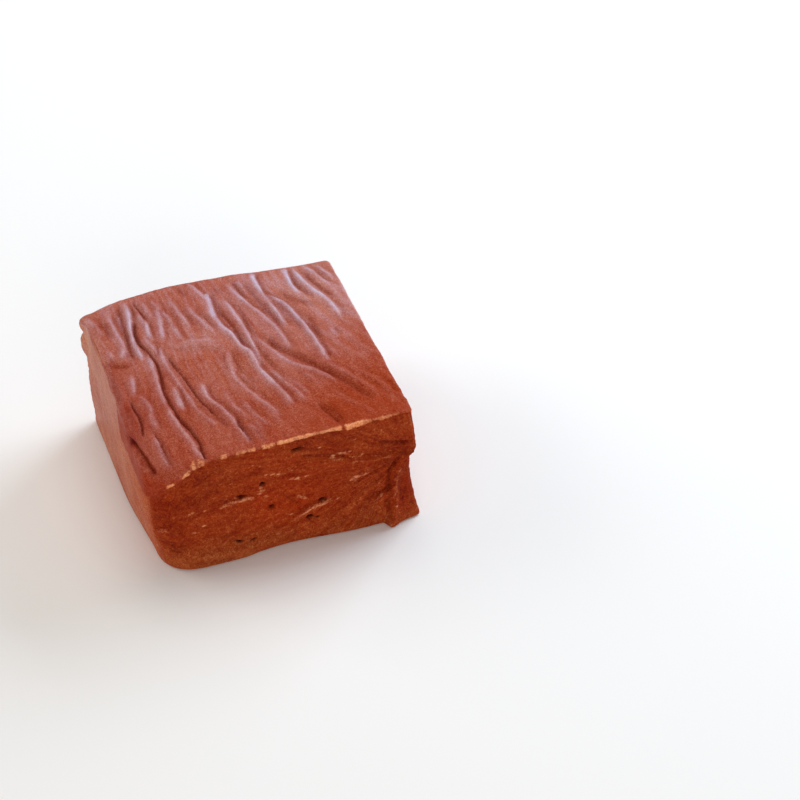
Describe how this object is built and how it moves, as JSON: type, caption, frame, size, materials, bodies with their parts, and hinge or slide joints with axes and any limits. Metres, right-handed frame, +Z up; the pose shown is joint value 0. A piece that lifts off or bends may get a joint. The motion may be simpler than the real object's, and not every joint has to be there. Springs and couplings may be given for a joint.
{
  "type": "chocolate fudge",
  "caption": "Hand-cut square of soft chocolate fudge with a wrinkled skin on top, knife-cut walls and a flat base to rest on.",
  "frame": {"origin": "middle of the piece's box, on its base", "axes": "+Z up, away from the base; -Y towards the knife-cut front wall with the tongue; +X towards the right wall, along the longer side"},
  "size_m": [0.0396, 0.0388, 0.0214],
  "materials": {
    "chocolate_fudge": "soft red-brown fudge: satin wrinkled skin on top, duller cut faces"
  },
  "bodies": {
    "root": {"fudge_block": "chocolate_fudge"}
  },
  "joints": []
}
